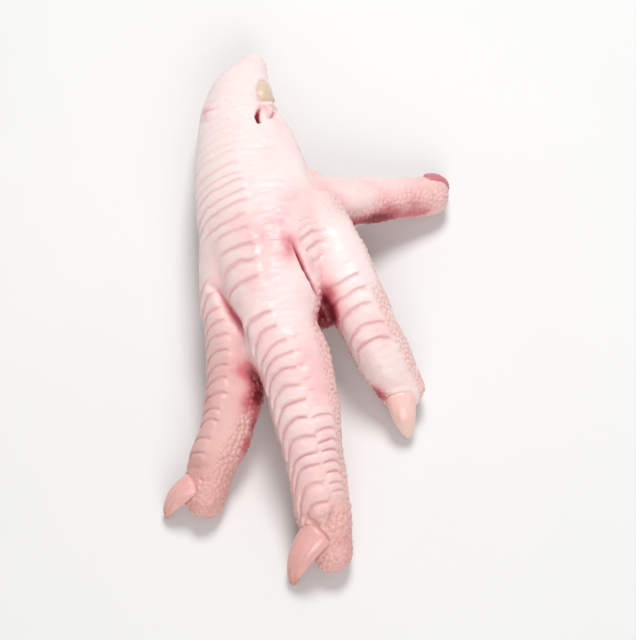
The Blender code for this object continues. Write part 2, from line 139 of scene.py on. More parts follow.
# Skin stretched between the roots of two toes, built as a limb is.
WEBS = (
    Limb(
        "inner_web",
        (1.5, 1, 17),
        (7, 3, 6),
        (Bone(6, 10, 22, 7, 2.6, 6), Bone(5, 4, 28, 5.6, 2, 5)),
        (2, 1.6),
    ),
    Limb(
        "outer_web",
        (-18, -8, 16),
        (6, 3, 5),
        (Bone(6, 8, 14, 6, 2.6, 5), Bone(6, 6, 22, 5, 2, 4)),
        (2, 1.6),
    ),
    Limb(
        "hind_web",
        (1.8, 29.2, 14.5),
        (4.8, 4.5, 5),
        (Bone(5, 45, 4, 5, 4.5, 5), Bone(5, 48, 8, 5, 4, 5)),
        (1.5, 1.5),
    ),
)

# Pads on the sole: the limb, the distance along it, the reach along it and how far each bulges.
PADS = (
    ("middle", 64, 9, 3),
    ("middle", 84, 4.5, 0.9),
    ("middle", 97, 4, 0.8),
    ("middle", 109, 3.5, 0.7),
    ("outer", 26, 4.5, 0.9),
    ("outer", 38, 3.6, 0.8),
    ("outer", 48, 3.2, 0.7),
    ("inner", 25, 4.5, 0.9),
    ("inner", 37, 3.6, 0.8),
    ("hind", 22, 5, 0.8),
)
SOLE_LEVEL = 0.25  # how far up a limb's sides its pads reach, as a cosine from straight down

# One crease: its corners as seen from above with its depth at each, its half width and its redness.
# A crease's redness is red flesh, with painted shade that deepens with the crease's depth.
Crease = namedtuple("Crease", "corners reach red")

CREASES = (
    Crease(
        ((-1.9, 5.4, 0.1), (-1.6, 3.6, 0.7), (-1, 0.9, 1.4),
         (0.1, -2.8, 1.7), (1.4, -5.3, 1.7), (2.5, -9, 1.6)),
        0.56,
        1,
    ),
    Crease(
        ((-20.9, -0.6, 0.5), (-19.7, -2.2, 1), (-18.2, -6.7, 1.4),
         (-16.8, -10.7, 1.5), (-15.4, -15, 1), (-14.6, -18, 0.2)),
        0.8,
        0.7,
    ),
    Crease(((-2.3, 45.2, 0.3), (-3.3, 43.4, 1.2), (-4, 41.2, 2), (-3.9, 39.4, 1.3)), 0.5, 1.2),
    Crease(((1.2, 47.2, 0.6), (1, 45, 1.2), (0, 42.2, 1.1), (-1.6, 40.6, 0.5)), 0.5, 0.8),
    Crease(((-1.6, 46.6, 0.2), (-0.4, 46, 0.7), (0.8, 46.4, 0.6)), 0.6, 0.6),
    Crease(((-0.2, 53.4, 0.8), (-1.4, 50, 1.6), (-1.6, 48, 1.6)), 1.5, 0),
)
RED_DEPTH = 1.6  # a crease is as red as its table says where it is this deep, and redder where deeper: painted shade

# One claw: the middle of its root and its tip, how far it bows up between them, the width and the
# height of its root, and how far it is rolled to the right, as seen from its root.
Claw = namedtuple("Claw", "name root tip bow width height roll")

CLAWS = (
    Claw("claw_middle", (-6.4, -57.1, 8.4), (-12.9, -64.2, 0.8), 1.6, 7.6, 5.6, 26),
    Claw("claw_outer", (-31.4, -40.9, 6.6), (-37.8, -44.7, 1), 1.2, 6, 4.8, 30),
    Claw("claw_inner", (17, -27.9, 6.9), (17.9, -34.7, 1.1), 1.3, 6.6, 5.2, 8),
    Claw("claw_hind", (33.3, 24.8, 7.1), (37.9, 24.5, 4), 0.9, 4.4, 3.7, -20),
)
CLAW_TIP = 0.26  # size at the tip, as a share of that at the root
CLAW_TAPER = (1.5, 0.8)  # powers that keep a claw full at its root and narrow it at its tip
CLAW_ABOVE = 0.52  # share of a claw's height that lies above its line
CLAW_ENDS = (1.2, 0.9)  # length of a claw's rounded ends
CLAW_STEP = 0.22
CLAW_SIDES = 72
CLAW_CAP_RINGS = 6
STREAK_HEIGHT = 0.05  # of the ridges along a claw
STREAKS = (0.15, 2.2)  # how many ridges a millimetre there are, along a claw and across it
CLAW_BLOOD = {"claw_middle": 0.5, "claw_outer": 0.4, "claw_inner": 0.0, "claw_hind": 1.0}

KNUCKLE_CENTRE = (-2.9, 50.4, 11.4)
KNUCKLE_SIZE = (7.7, 10.8, 9.4)
KNUCKLE_TURN = -10
KNUCKLE_TILT = -14
KNUCKLE_SIDES = 96
KNUCKLE_RINGS = 64
SADDLE_DEPTH = 0.10  # of the hollow between the knuckle's heads, as a share of its size
SADDLE_REACH = 0.14

# ---- relief of the skin

# Ripples are sums of smooth noises. Each has its strength, the size of its features and its seed.
SEED_STEPS = (1, 2.3, 5.1)  # how far a seed of 1 moves a noise along each axis
SWELLS = ((0.16, 4.0, 7), (0.05, 1.3, 9))  # unevenness of all the skin
KNUCKLE_SWELLS = ((0.14, 2.2, 4),)

# One row of scutes: the limb it lies on, the distances along it between which it runs, how many it
# has and how many times longer the last is than the first. Then come pairs, for its first and last
# scute: the angles of its left and right edges from the limb's upper side, the angle at which its
# joints are furthest back, how far they bow forward BOW_ANGLE degrees from there, and its height.
Row = namedtuple("Row", "limb first last count growth left right crown bow height")
BOW_ANGLE = 50
BOW_POWER = 2.6  # how a joint bows: 2 is round, and more is flatter with steeper sides
LOBES = 8  # how many degrees narrower a scute is at its joints than at its middle
ROW_EDGE = 9  # over this angle a scute rises from the edge of its row
ROW_END = 0.8  # over this many scutes a row rises from nothing at each end
ROW_SWAY = ((7, 3.2, 6),)  # how far the edges of a row wander, in degrees
SCUTE_RISE = (0.0, 0.40)  # over this share of a scute it rises from its upper joint
SCUTE_DROP = (1.0, 0.80)  # over this share of a scute it drops into its lower joint
JOINT_CHANCE = 0.16  # how far a joint is moved by chance, in scutes
JOINT_WANDER = ((0.20, 7, 1), (0.10, 2.6, 2))  # how far it wanders, in scutes
SCUTE_CHANCE = (0.7, 1.3)  # between these, a scute's height is multiplied by chance
SCUTE_SEED = 5
MARKED_HEIGHT = 0.4  # a scute this high has its joints in full colour
WORN = ((0.7, 5, 12),)  # how unevenly the joints are coloured
WORN_LEVEL = 1.05
LEAST_WORN = 0.35

ROWS = (
    Row("middle", 21, 71, 16, 1.5, (-98, -88), (-2, 6), (-40, -16), (0.8, 1.6), (0.04, 0.42)),
    Row("middle", 28, 52, 7, 1.1, (20, 20), (54, 52), (36, 36), (0.4, 0.4), (0.06, 0.10)),
    Row("middle", 72.2, 120, 14, 1.32, (-60, -54), (16, 45), (-4, 23), (2.2, 3.2), (0.36, 0.58)),
    Row("middle", 79.5, 95.5, 6, 1, (10, 20), (34, 48), (22, 34), (14, 14), (0.26, 0.34)),
    Row("middle", 95.8, 117, 9, 1, (17, 40), (74, 86), (44, 62), (5, 6), (0.36, 0.44)),
    Row("outer", 8.7, 55.8, 14, 1, (-80, -74), (14, 24), (0, 5), (2.2, 2.2), (0.34, 0.46)),
    Row("inner", 16.9, 35.2, 6, 1.35, (-70, -66), (34, 44), (-15, -15), (-0.5, 2), (0.30, 0.40)),
)

# Short wrinkles: their corners as seen from above and how deep they are at each.
WRINKLE_REACH = 0.42  # half the width of one

WRINKLES = (
    ((1, 8.8, 0.1), (2.6, 9.8, 0.3), (4.4, 10, 0.1)),
    ((0.3, 6.2, 0.3), (2.4, 8, 0.3), (4.4, 8.6, 0.1)),
    ((0.2, 3.8, 0.5), (3.4, 6.6, 0.5), (6.4, 7.3, 0.1)),
    ((1.4, 1.6, 0.5), (4, 4.2, 0.5), (6.2, 4.8, 0.1)),
    ((2.2, -0.6, 0.3), (4.2, 1.4, 0.3), (6, 2, 0.1)),
    ((-12.8, -4.9, 0.1), (-10.6, -5.6, 0.2), (-8.4, -5.7, 0.1)),
    ((-11, -8.9, 0.1), (-9, -9.6, 0.2), (-7, -9.4, 0.1)),
    ((-9.4, -52.4, 0.2), (-7.5, -54.4, 0.5), (-6.1, -56.2, 0.5)),
    ((-1.9, -53.2, 0.2), (-3.2, -55, 0.5), (-4.3, -56.6, 0.5)),
    ((-31.6, -36.6, 0.2), (-29.8, -38.2, 0.35), (-27.6, -38.2, 0.1)),
    ((-30.6, -40.2, 0.2), (-28.9, -41.2, 0.35), (-27.2, -40.6, 0.1)),
    ((-15.2, 50.4, 0.1), (-13.8, 49.2, 0.3), (-12.2, 49.4, 0.1)),
    ((-16, 47.4, 0.2), (-14.2, 46.4, 0.3), (-12.4, 46.7, 0.1)),
    ((-16.6, 44.6, 0.1), (-15, 43.6, 0.2), (-13.4, 43.8, 0.1)),
)

# Single bumps: where they are as seen from above, their reach and how high they are.
BUMPS = (
    (-5.9, -54, 1, 0.5),
    (1.6, -31.6, 1.6, 0.5),
    (-14.6, 48.4, 1.6, 0.5),
    (-14.8, 45.6, 1.4, 0.4),
)

# Fine folds across the limbs, in two sets: how strong each is, how far apart its folds are, over
# how many degrees round the limb one runs, and its seed.
FINE_FOLDS = ((1, 0.55, 26, 3), (0.7, 1.1, 34, 8))
FINE_FOLD_HEIGHT = 0.10

# The fold of skin round a piece that sits in it: its height, where it is highest and its half
# width, both measured outwards from the piece.
Lip = namedtuple("Lip", "height away reach")

CLAW_LIP = Lip(0.22, 0.45, 0.5)
KNUCKLE_LIP = Lip(0.40, 0.8, 0.6)
KNUCKLE_RED = Lip(0.22, 0.0, 0.5)  # how red the skin is where it meets the knuckle
LIP_SEARCH = 4.0  # how far from a piece the skin is measured for its lip

# Where a limb has granules instead of scutes: the limb, the distances between which this holds, the
# angles on its two sides at which they start, counted from its upper side, and their spacing.
GRANULES = (
    ("middle", -10, 60, -112, 86, 1.3),
    ("middle", 60, 80, -96, 88, 1.3),
    ("middle", 80, 96, -80, 64, 1.15),
    ("middle", 96, 117, -72, 66, 1.15),
    ("middle", 117, 123, -52, 16, 1.3),
    ("middle", 123, 140, 0, 0, 1),
    ("outer", -10, 44, -84, 66, 1.15),
    ("outer", 44, 57, -78, 46, 1.1),
    ("outer", 57, 80, 0, 0, 1),
    ("inner", -10, 22, -84, 70, 1.15),
    ("inner", 22, 42, -78, 36, 1.1),
    ("inner", 42, 60, -40, 40, 1),
    ("hind", 6, 18, -54, 104, 1.1),
    ("hind", 18, 26, -30, 92, 1.05),
    ("hind", 26, 36, -6, 76, 1),
    ("hind", 36, 50, 10, 50, 1),
)
GRANULE_TURN = 9  # granules set in over this angle on both sides of where they start
GRANULE_RUN = 2  # and over this distance on both sides of where a patch ends
GRANULE_UNEVEN = ((0.25, 9, 3),)  # how much their spacing varies, as a share
GRANULE_HEIGHT = 0.36  # as a share of their spacing
GRANULE_EDGE = 0.45  # share of their spacing over which they rise from their borders
GRANULE_SINK = 0.6  # share of their height by which they are sunk into the skin
GRANULE_CHANCE = 0.5  # how much their heights differ
GRANULE_SEED = 11
LEAST_COVER = 0.001  # with less cover than this a point has no granules
SEEDED_COVER = 0.02  # least cover at which a granule may have its middle
MEASURED_COVER = 0.01  # least cover at which granules are measured
BARE_SPACING = 1.2  # what stands for the spacing where there are no granules
SCUTES_OVER = 1.6  # how readily scutes push granules aside
TINY = 1e-6  # keeps a divisor above zero

# ---- colour of the skin

# Stretches over which a limb gets pinker: its name, where this starts and ends, and by how much.
FLUSHED = (
    ("middle", 60, 84, 0.18),
    ("middle", 100, 124, 0.15),
    ("outer", 6, 26, 0.26),
    ("inner", 10, 34, 0.12),
    ("hind", -4, 6, 0.25),
    ("middle", 34, 56, 0.12),
)

# Stretches over which a limb gets browner in the same way, as painted shade.
PAINTED_SHADE_STRETCHES = (
    ("outer", 6, 34, 0.62),
    ("outer", 48, 60, 0.40),
    ("middle", 92, 116, 0.36),
    ("middle", 112, 124, 0.45),
    ("inner", 30, 46, 0.10),
    ("hind", 20, 36, 0.25),
)

# Patches of blood under the skin and of painted shade in red: where each is, its reach and its
# strength.
BLUSHES_AND_SHADE = (
    ((-7, 6, 29.5), 9, 0.45),
    ((4, 14, 26), 8, 0.25),
    ((1.5, 33, 20), 6, 0.22),
    ((10, 19, 16), 5, 0.25),
    ((-2, -24, 22), 7, 0.36),
    # painted shade in dark red on the right flank of the outer toe, beside the middle toe
    ((-17.5, -20, 16), 3.4, 0.85),
    ((-17.2, -26, 14), 2.8, 0.8),
    ((-27, -38, 9), 5, 0.4),
    ((-2.6, 3.4, 28), 2.2, 0.75),
    ((-3.4, 0.2, 28.5), 2.2, 0.5),
    ((-2.2, 44.4, 18), 1.7, 0.85),
    ((-1, 41.7, 18.9), 1.5, 0.45),
    ((0.8, 46, 15.6), 1.8, 0.70),
    ((-14.5, 46.5, 15.5), 2.6, 0.5),
    ((-5, 62, 8), 5, 0.35),
    ((0.6, -1.2, 25), 2.2, 0.5),
    # painted shade in dark red deep between the middle and the inner toe, over the web's red flesh
    ((4.6, -5.8, 20.5), 3, 0.7),
    ((3.8, -8.6, 16), 3.6, 2.4),
    ((2.4, -12, 17), 2.2, 1),
    ((2, -11.8, 21.5), 2.6, 0.5),
    ((2.2, -32, 17.5), 3.4, 0.18),
    # red flesh and painted shade in dark red where the outer toe meets the middle toe
    ((-14.4, -21, 15), 2.6, 1.4),
    ((-14.4, -25.5, 12.5), 2.6, 1.4),
    ((-15, -30, 9.5), 2.6, 1),
    ((-24.8, -24, 13), 3, 0.45),
    # red skin along the lower edge of the hind toe, with painted shade over it there
    ((10.5, 12.4, 14), 3.2, 1.4),
    ((14.5, 13.4, 12.2), 2.8, 1.3),
    ((18.6, 14.4, 10.4), 3, 1.6),
    ((22.6, 15.3, 8.4), 3, 1.4),
    ((26.6, 16.2, 6.6), 3, 0.9),
    ((30.5, 17.2, 5.4), 3, 0.5),
    ((22, 17.8, 12), 4.5, 0.45),
    ((29, 19.6, 9), 4.5, 0.35),
    # painted shade in dark red round the crotch of the middle and the inner toe
    ((5, -8, 15), 5, 0.7),
    ((-10, -24, 13), 4, 0.45),
    ((-17, -29, 8), 3, 0.7),
    ((-20, -37, 6), 2.4, 0.5),
    ((-18.2, -34.4, 9), 2.4, 1.2),
    ((12, -26.4, 7.4), 2.4, 1.5),
    ((13.2, -28.1, 7.5), 1.5, 1),
    ((12, -14, 17), 5, 0.25),
    ((-4, -60, 5), 5, 0.28),
    ((-27, -44, 5), 5, 0.35),
    ((34, 22, 5), 5, 0.15),
    ((1, 49, 11), 2.2, 0.9),
)
WEB_BLUSH = 0.30  # where two limbs meet
MOST_BLUSH = 2


# ---- colours and finishes


def colour(red, green, blue):
    """A display colour of 0 to 255 as the linear colour that a shader takes."""
    shares = np.array((red, green, blue)) / 255
    linear = np.where(shares <= 0.04045, shares / 12.92, ((shares + 0.055) / 1.055) ** 2.4)
    return (*linear.tolist(), 1.0)


PALE_SKIN = colour(249, 229, 226)
PINK_SKIN_AND_SHADE = colour(245, 190, 192)
# brown of the painted shade on the toes and their pads
PAINTED_SHADE_BROWN = colour(217, 165, 154)
BLOOD_AND_SHADE = colour(196, 76, 94)
RAW_FLESH_AND_SHADE = colour(124, 14, 28)
GROOVE = colour(200, 150, 150)
CREAM = colour(237, 196, 184)
HORN_ROOT = colour(232, 176, 172)
HORN_MIDDLE = colour(227, 168, 158)
HORN_TIP = colour(202, 136, 112)
HORN_STREAK = colour(246, 216, 208)
HORN_BLOOD = colour(196, 100, 114)
PALE_HORN_ROOT = colour(246, 206, 198)
PALE_HORN_TIP = colour(236, 213, 196)
CARTILAGE = colour(228, 207, 188)
DARK_CARTILAGE = colour(220, 192, 166)
PINK_CARTILAGE = colour(238, 196, 190)
FLOOR = colour(226, 226, 226)
LIGHT_FLOOR = colour(231, 231, 230)

# One finish: its least and most roughness, how strong and how rough its wet coat is, and how much
# light travels under its surface, how far, and how far red, green and blue go as shares of that.
Finish = namedtuple("Finish", "smooth rough coat coat_rough flesh depth tint")

SKIN_FINISH = Finish(0.36, 0.52, 0.16, 0.24, 0.28, 1.6, (1.0, 0.42, 0.30))
HORN_FINISH = Finish(0.26, 0.40, 0.25, 0.15, 0.35, 1.4, (1.0, 0.5, 0.35))
CARTILAGE_FINISH = Finish(0.34, 0.48, 0.1, 0.3, 0.35, 1.8, (1.0, 0.7, 0.5))
FLOOR_ROUGHNESS = 0.6
GRAIN = (0.3, 0.7)  # over these values of a noise a surface goes from smooth to rough
NOISE_ROUGHNESS = 0.55

# ---- floor and lights

FLOOR_REACH = 3000

# One round soft light: its name, place, size, power in watts and tint.
Light = namedtuple("Light", "name place size power tint")

LIGHTS = (
    Light("key", (100, 340, 620), 260, 3.3, (1.0, 0.99, 0.98)),
    Light("fill", (-20, -620, 440), 500, 2.4, (1.0, 1.0, 1.0)),
)
LIGHT_TARGET = (0, 0, 10)
SKY_STRENGTH = 0.40


# ---- curves and directions


def smooth_through(places, values, wanted):
    """Catmull-Rom curve through values at places, read at the wanted places."""
    values = np.asarray(values, float)
    slopes = np.gradient(values, places, axis=0)
    index = np.clip(np.searchsorted(places, wanted) - 1, 0, len(places) - 2)
    span = np.diff(places)[index]
    t = (wanted - np.asarray(places)[index]) / span
    if values.ndim > 1:
        t = t[:, None]
        span = span[:, None]
    start, end = values[index], values[index + 1]
    return (
        (2 * t**3 - 3 * t**2 + 1) * start
        + (t**3 - 2 * t**2 + t) * span * slopes[index]
        + (3 * t**2 - 2 * t**3) * end
        + (t**3 - t**2) * span * slopes[index + 1]
    )


def smoothstep(values, low, high):
    """0 below low, 1 above high, a smooth rise between them. It falls where low is above high."""
    t = np.clip((values - low) / (high - low), 0, 1)
    return t * t * (3 - 2 * t)


def bell(distances, reach):
    return np.exp(-((distances / reach) ** 2))


def between(pair, share):
    return pair[0] + (pair[1] - pair[0]) * share


def unit(vectors):
    return vectors / np.linalg.norm(vectors, axis=-1, keepdims=True)


def rolled(side, up, degrees):
    """Side and up directions turned about the line they stand on."""
    roll = np.radians(degrees)
    return side * np.cos(roll) + up * np.sin(roll), up * np.cos(roll) - side * np.sin(roll)


def rippled(points, ripples):
    """The sum of some ripples at points."""
    total = np.zeros(len(points))
    for strength, size, seed in ripples:
        shift = Vector([step * seed for step in SEED_STEPS])
        total += [strength * noise.noise(Vector(point) / size + shift) for point in points]
    return total


# ---- lines and sections of a limb


def bone_line(limb):
    """The distances along a limb of its joints, and the joints' places."""
    places = [np.array(limb.start)]
    distances = [0.0]
    for bone in limb.bones:
        heading, dip = np.radians((bone.heading, bone.dip))
        flat = np.cos(dip)
        step = (np.sin(heading) * flat, -np.cos(heading) * flat, -np.sin(dip))
        places.append(places[-1] + bone.length * np.array(step))
        distances.append(distances[-1] + bone.length)
    return np.array(distances), np.array(places)


def limb_stations(limb, step):
    """Distance, centre, forward, side and up, and (half width, above, below), at every step."""
    joints, places = bone_line(limb)
    sizes = [limb.size] + [bone[3:] for bone in limb.bones]
    distance = np.linspace(0, joints[-1], max(3, round(joints[-1] / step) + 1))
    centre = smooth_through(joints, places, distance)
    size = smooth_through(joints, sizes, distance) * (0.5, 1, 1)
    forward = unit(np.gradient(centre, axis=0))
    side = unit(np.cross(UP, forward))
    up = np.cross(forward, side)
    roll = np.interp(distance, (0, joints[-1]), limb.rolls)[:, None]
    side, up = rolled(side, up, roll)
    return distance, centre, forward, side, up, size


# ---- meshes


def rounded_ends(stations, caps, cap_rings):
    """The stations of a loft with a half-round cap added at each end."""
    _, centre, forward, side, up, size = stations
    turns = np.radians(np.linspace(CAP_START, 90, cap_rings, endpoint=False))
    rings = []
    for turn in turns:
        reach = forward[0] * caps[0] * np.cos(turn)
        rings.append((centre[0] - reach, side[0], up[0], size[0] * np.sin(turn)))
    rings += list(zip(centre, side, up, size))
    for turn in turns[::-1]:
        reach = forward[-1] * caps[1] * np.cos(turn)
        rings.append((centre[-1] + reach, side[-1], up[-1], size[-1] * np.sin(turn)))
    return rings


def linked(name, shape):
    """A bmesh as an object in the scene."""
    mesh = bpy.data.meshes.new(name)
    shape.to_mesh(mesh)
    shape.free()
    obj = bpy.data.objects.new(name, mesh)
    bpy.context.scene.collection.objects.link(obj)
    return obj


def loft(name, rings, sides):
    """A closed mesh object through rings of (centre, side, up, (half width, above, below))."""
    shape = bmesh.new()
    angles = np.linspace(0, 2 * np.pi, sides, endpoint=False)
    loops = []
    for centre, side, up, (half_width, above, below) in rings:
        heights = np.where(np.cos(angles) > 0, above, below) * np.cos(angles)
        points = centre + np.outer(half_width * np.sin(angles), side) + np.outer(heights, up)
        loops.append([shape.verts.new(Vector(point) * MM) for point in points])
    for back, front in zip(loops, loops[1:]):
        for i in range(sides):
            j = (i + 1) % sides
            shape.faces.new((back[i], back[j], front[j], front[i]))
    shape.faces.new(loops[0][::-1])
    shape.faces.new(loops[-1])
    bmesh.ops.recalc_face_normals(shape, faces=shape.faces)
    return linked(name, shape)


def applied(obj):
    """Turns an object's modifiers into its mesh."""
    graph = bpy.context.evaluated_depsgraph_get()
    mesh = bpy.data.meshes.new_from_object(obj.evaluated_get(graph))
    obj.modifiers.clear()
    old, obj.data = obj.data, mesh
    bpy.data.meshes.remove(old)
    return obj


def thinned(obj, triangles):
    """Collapses edges where an object is flattest until about this many triangles are left."""
    now = sum(len(face.vertices) - 2 for face in obj.data.polygons)
    if now > triangles:
        thin = obj.modifiers.new("Thin", "DECIMATE")
        thin.ratio = triangles / now
        applied(obj)
    return obj


def vectors_of(mesh, kind):
    vectors = np.empty(len(mesh.vertices) * 3, np.float32)
    mesh.vertices.foreach_get(kind, vectors)
    return vectors.reshape(-1, 3).astype(float)


def points_of(mesh):
    return vectors_of(mesh, "co") / MM


def normals_of(mesh):
    return vectors_of(mesh, "normal")


def place_points(mesh, points):
    """Moves a mesh's points, and lifts those that would be below the floor onto it."""
    points[:, 2] = np.maximum(points[:, 2], 0.0)
    mesh.vertices.foreach_set("co", (points * MM).astype(np.float32).ravel())
    mesh.update()


def store(mesh, name, values):
    """Keeps one number a vertex for the material."""
    layer = mesh.attributes.new(name, "FLOAT", "POINT")
    layer.data.foreach_set("value", np.asarray(values, np.float32))


# ---- skin: where a point lies


def on_limb(limb, points):
    """Each point's distance along a limb, angle from its upper side, and distance from its line,
    which is 1 on its surface."""
    distance, centre, forward, side, up, size = limb_stations(limb, MAP_STEP)
    parts = np.array_split(points, max(1, len(points) // POINTS_AT_ONCE))
    nearest = [np.argmin(((part[:, None] - centre) ** 2).sum(2), axis=1) for part in parts]
    nearest = np.concatenate(nearest)
    offset = points - centre[nearest]
    along = (offset * forward[nearest]).sum(1)
    across = (offset * side[nearest]).sum(1)
    height = (offset * up[nearest]).sum(1)
    tall = np.where(height > 0, size[nearest, 1], size[nearest, 2])
    depth = np.sqrt((across / size[nearest, 0]) ** 2 + (height / tall) ** 2)
    depth += np.clip(np.abs(along) - MAP_STEP, 0, None) / size[nearest, 0]
    return distance[nearest] + along, np.degrees(np.arctan2(across, height)), depth


def web_share(depths):
    """How much a point lies where two limbs meet, from its depths in them, nearest first."""
    return bell(depths[1] - depths[0], WEB_SOFTNESS)


class SkinMap:
    """Where each point of the skin lies: on which limb, how far along it and on which side."""

    def __init__(self, points, normals):
        self.points = points
        self.normals = normals
        self.upward = np.clip(2 * normals[:, 2], 0, 1)  # 0 on upright skin, 1 on the upper side
        places = [on_limb(limb, points) for limb in LIMBS]
        self.along = {name: place[0] for name, place in zip(LIMB_NAMES, places)}
        self.angle = {name: place[1] for name, place in zip(LIMB_NAMES, places)}
        depths = np.array([place[2] for place in places])
        share = np.exp(-SHARE_SHARPNESS * depths)
        self.share = dict(zip(LIMB_NAMES, share / share.sum(0)))
        self.give_roots_to_shank()
        nearest_toe = np.argmin(depths[1:], axis=0)
        on_toe = np.choose(nearest_toe, [self.along[toe] for toe in TOES])
        self.web = web_share(np.sort(depths, axis=0)) * smoothstep(on_toe, *TOE_ROOT)

    def give_roots_to_shank(self):
        for toe in TOES:
            root = self.share[toe] * (1 - smoothstep(self.along[toe], *TOE_ROOT))
            self.share[toe] -= root
            self.share[SHANK] += root

    def zeros(self):
        return np.zeros(len(self.points))


# ---- skin: base form


def fused_limbs(voxel):
    """All limbs and webs as one closed skin, smoothed where two limbs meet."""
    joined = bmesh.new()
    for limb in LIMBS + WEBS:
        rings = rounded_ends(limb_stations(limb, LOFT_STEP), limb.caps, CAP_RINGS)
        piece = loft(limb.name, rings, LOFT_SIDES)
        joined.from_mesh(piece.data)
        bpy.data.objects.remove(piece)
    skin = linked("skin", joined)
    remesh = skin.modifiers.new("Fuse", "REMESH")
    remesh.mode = "VOXEL"
    remesh.voxel_size = voxel * MM
    applied(skin)

    depths = np.sort([on_limb(limb, points_of(skin.data))[2] for limb in LIMBS], axis=0)
    webs = skin.vertex_groups.new(name="webs")
    for i, weight in enumerate(web_share(depths)):
        webs.add((i,), float(weight), "REPLACE")
    soften = skin.modifiers.new("Webs", "SMOOTH")
    soften.factor = SMOOTHING
    soften.iterations = WEB_PASSES
    soften.vertex_group = webs.name
    even = skin.modifiers.new("Even", "SMOOTH")
    even.factor = SMOOTHING
    even.iterations = EVEN_PASSES
    finer = skin.modifiers.new("Finer", "SUBSURF")
    finer.levels = 1
    finer.render_levels = 1
    applied(skin)
    skin.vertex_groups.clear()
    return skin


# ---- skin: scutes


def scute_profile(t):
    """Height over one scute: it rises from its upper joint and drops steeply into its lower one."""
    return smoothstep(t, *SCUTE_RISE) * smoothstep(t, *SCUTE_DROP)


def uneven(row, count):
    """Places in a row, counted in scutes, once its joints are moved a little by chance."""
    joints = np.arange(row.count + 1)
    chance = np.random.default_rng(row.count).uniform(-JOINT_CHANCE, JOINT_CHANCE, len(joints))
    return np.interp(count, joints + chance, joints)


def row_fields(row, spot, sway):
    """Each point's place in a row, in scutes, how much it belongs to it, and the height there."""
    along, angle = spot.along[row.limb], spot.angle[row.limb]
    share = np.clip((along - row.first) / (row.last - row.first), 0, 1)
    left, right = between(row.left, share), between(row.right, share)
    off_crown = np.abs(angle - between(row.crown, share)) / BOW_ANGLE
    place = along - between(row.bow, share) * off_crown**BOW_POWER
    share = np.clip((place - row.first) / (row.last - row.first), 0, 1)
    gain = (row.growth - 1) / (row.growth + 1)
    count = uneven(row, row.count * share * (1 + gain * (1 - share)))
    inside = (right - left) / 2 - np.abs(angle + sway - (left + right) / 2)
    inside -= LOBES * np.abs(2 * (count % 1) - 1) ** 3
    edge = smoothstep(inside, 0.0, ROW_EDGE)
    ends = smoothstep(np.minimum(count, row.count - count), 0.0, ROW_END)
    return count, spot.share[row.limb] * edge * ends * (1 - spot.web), between(row.height, share)


def scute_relief(spot):
    """The scutes' height, how strongly they are marked, and the distance to a joint, in scutes."""
    sway = rippled(spot.points, ROW_SWAY)
    wander = rippled(spot.points, JOINT_WANDER)
    height, marked = spot.zeros(), spot.zeros()
    joint = spot.zeros() + 0.5
    for number, row in enumerate(ROWS):
        count, belongs, tall = row_fields(row, spot, sway)
        count = count + wander
        chance = np.random.default_rng(SCUTE_SEED + number).uniform(*SCUTE_CHANCE, row.count + 2)
        own = chance[np.clip(count.astype(int) + 1, 0, row.count + 1)]
        height += tall * own * belongs * scute_profile(count % 1)
        strength = belongs * np.minimum(1, tall / MARKED_HEIGHT)
        stronger = strength > marked
        joint = np.where(stronger, np.abs(0.5 - (count + 0.5) % 1), joint)
        marked = np.where(stronger, strength, marked)
    marked *= np.clip(WORN_LEVEL + rippled(spot.points, WORN), LEAST_WORN, 1)
    return height, marked, joint


# ---- skin: granules


def granule_cover(spot):
    """How much of each point is covered by granules, and how far apart they are there."""
    cover = spot.zeros()
    spacing = spot.zeros() + TINY
    for limb, first, last, minus, plus, apart in GRANULES:
        inside = spot.share[limb] * np.maximum(
            smoothstep(spot.angle[limb], plus - GRANULE_TURN, plus + GRANULE_TURN),
            smoothstep(spot.angle[limb], minus + GRANULE_TURN, minus - GRANULE_TURN),
        )
        inside *= smoothstep(spot.along[limb], first - GRANULE_RUN, first + GRANULE_RUN)
        inside *= smoothstep(spot.along[limb], last + GRANULE_RUN, last - GRANULE_RUN)
        cover += inside
        spacing += inside * apart
    spacing = np.where(cover > LEAST_COVER, spacing / np.maximum(cover, LEAST_COVER), BARE_SPACING)
    return np.clip(cover, 0, 1), spacing


def crowded(place, cell, picked, gap):
    """Whether a picked point lies less than gap from a place. They are kept by cells of a grid."""
    x, y, z = place
    for step in itertools.product((-1, 0, 1), repeat=3):
        near = (cell[0] + step[0], cell[1] + step[1], cell[2] + step[2])
        for a, b, c in picked.get(near, ()):
            if (x - a) ** 2 + (y - b) ** 2 + (z - c) ** 2 < gap**2:
                return True
    return False


def spread_seeds(points, spacing, wanted):
    """Points at least spacing apart, taken in a seeded random order."""
    order = np.random.default_rng(GRANULE_SEED).permutation(np.flatnonzero(wanted))
    cells = np.floor(points / spacing.max()).astype(int).tolist()
    places = points.tolist()
    picked = {}
    seeds = []
    for i in order.tolist():
        if not crowded(places[i], cells[i], picked, spacing[i]):
            picked.setdefault(tuple(cells[i]), []).append(places[i])
            seeds.append(i)
    return points[seeds]


def granule_borders(points, cover, spacing):
    """How far points are from their granules' borders, in spacings, and each granule's luck."""
    spacing = spacing * (1 + rippled(points, GRANULE_UNEVEN))
    seeds = spread_seeds(points, spacing, cover > SEEDED_COVER)
    tree = kdtree.KDTree(len(seeds))
    for i, seed in enumerate(seeds):
        tree.insert(seed, i)
    tree.balance()
    chance = np.random.default_rng(GRANULE_SEED + 1).random(len(seeds))
    border = np.full(len(points), 1.0)
    luck = np.full(len(points), 0.5)
    for i in np.flatnonzero(cover > MEASURED_COVER):
        (first, own, near), (second, _, far) = tree.find_n(points[i], 2)
        apart = max((second - first).length, TINY)
        border[i] = (far**2 - near**2) / (2 * apart * spacing[i])
        luck[i] = chance[own]
    return border, luck


